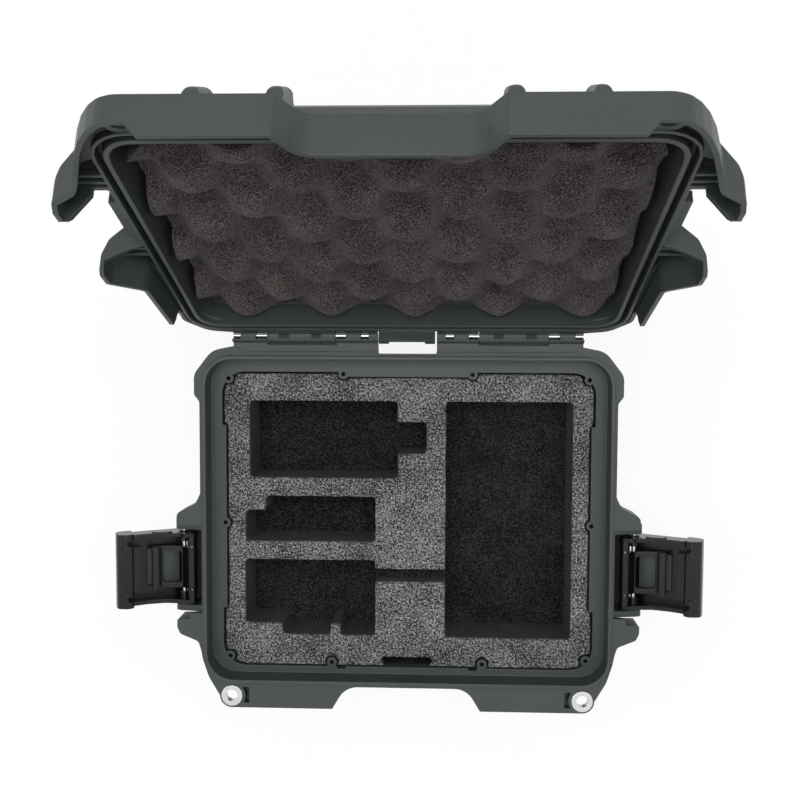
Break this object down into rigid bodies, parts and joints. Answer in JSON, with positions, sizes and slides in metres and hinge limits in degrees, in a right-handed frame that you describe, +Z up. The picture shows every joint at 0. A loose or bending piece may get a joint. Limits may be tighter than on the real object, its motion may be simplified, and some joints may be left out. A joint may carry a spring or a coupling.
{
  "type": "microphone case",
  "caption": "Small hard carrying case standing open, with a hinged lid, draw latches at the sides, padlock rings, bumped lid foam and a cut foam insert with pockets.",
  "frame": {"origin": "centre of the base's flat bottom, which the case stands on", "axes": "+X to the right, +Y towards the hinge, +Z up out of the base"},
  "size_m": [0.3842, 0.3664, 0.3432],
  "materials": {
    "shell": "satin moulded plastic, olive grey",
    "latch": "satin black plastic",
    "lock": "satin dark olive plastic",
    "steel": "plain stainless",
    "gasket": "soft black rubber",
    "grip": "matt black rubber",
    "foam_base": "open-cell foam, mottled grey",
    "foam_lid": "open-cell foam, dark brown grey",
    "membrane": "white vent cloth"
  },
  "bodies": {
    "base": {"base_shell": "shell", "base_foam_insert": "foam_base", "base_foam_pad": "foam_base", "hinge_pin_left": "steel", "hinge_pin_right": "steel", "padlock_ring_left": "steel", "padlock_ring_right": "steel", "valve_body": "latch", "valve_nut": "latch", "valve_seal": "gasket", "valve_membrane": "membrane", "latch_pin_left": "steel", "latch_pin_right": "steel"},
    "lid": {"lid_shell": "shell", "lid_gasket": "gasket", "lid_foam": "foam_lid", "handle_pin_left": "steel", "handle_pin_right": "steel"},
    "handle": {"carry_handle": "latch", "handle_grip": "grip"},
    "lever_left": {"latch_lever_left": "latch", "claw_pin_left": "steel"},
    "claw_left": {"latch_claw_left": "latch"},
    "lock_left": {"latch_lock_left": "lock"},
    "lever_right": {"latch_lever_right": "latch", "claw_pin_right": "steel"},
    "claw_right": {"latch_claw_right": "latch"},
    "lock_right": {"latch_lock_right": "lock"}
  },
  "joints": [
    {"name": "lid_hinge", "type": "hinge", "parent": "base", "child": "lid", "pos_m": [0, 0.1215, 0.1049], "axis": [-1, 0, 0], "range_deg": [-112, 0]},
    {"name": "handle_swing", "type": "hinge", "parent": "lid", "child": "handle", "pos_m": [0, 0.20865, 0.20289], "axis": [1, 0, 0], "range_deg": [0, 90]},
    {"name": "latch_left", "type": "hinge", "parent": "base", "child": "lever_left", "pos_m": [-0.15, -0.0332, 0.092], "axis": [0, -1, 0], "range_deg": [-62, 0]},
    {"name": "claw_left", "type": "hinge", "parent": "lever_left", "child": "claw_left", "pos_m": [-0.14313, -0.0332, 0.09854], "axis": [0, -1, 0], "range_deg": [-27, 0]},
    {"name": "lock_left", "type": "slide", "parent": "lever_left", "child": "lock_left", "axis": [-0.8829, 0, 0.4695], "range_m": [0, 0.003], "stiffness_N_per_m": 300},
    {"name": "latch_right", "type": "hinge", "parent": "base", "child": "lever_right", "pos_m": [0.15, -0.0332, 0.092], "axis": [0, 1, 0], "range_deg": [-62, 0]},
    {"name": "claw_right", "type": "hinge", "parent": "lever_right", "child": "claw_right", "pos_m": [0.14313, -0.0332, 0.09854], "axis": [0, 1, 0], "range_deg": [-27, 0]},
    {"name": "lock_right", "type": "slide", "parent": "lever_right", "child": "lock_right", "axis": [0.8829, 0, 0.4695], "range_m": [0, 0.003], "stiffness_N_per_m": 300}
  ],
  "couplings": [
    {"joint": "claw_left", "follows": "latch_left", "ratio": 0.4355},
    {"joint": "claw_right", "follows": "latch_right", "ratio": 0.4355}
  ]
}
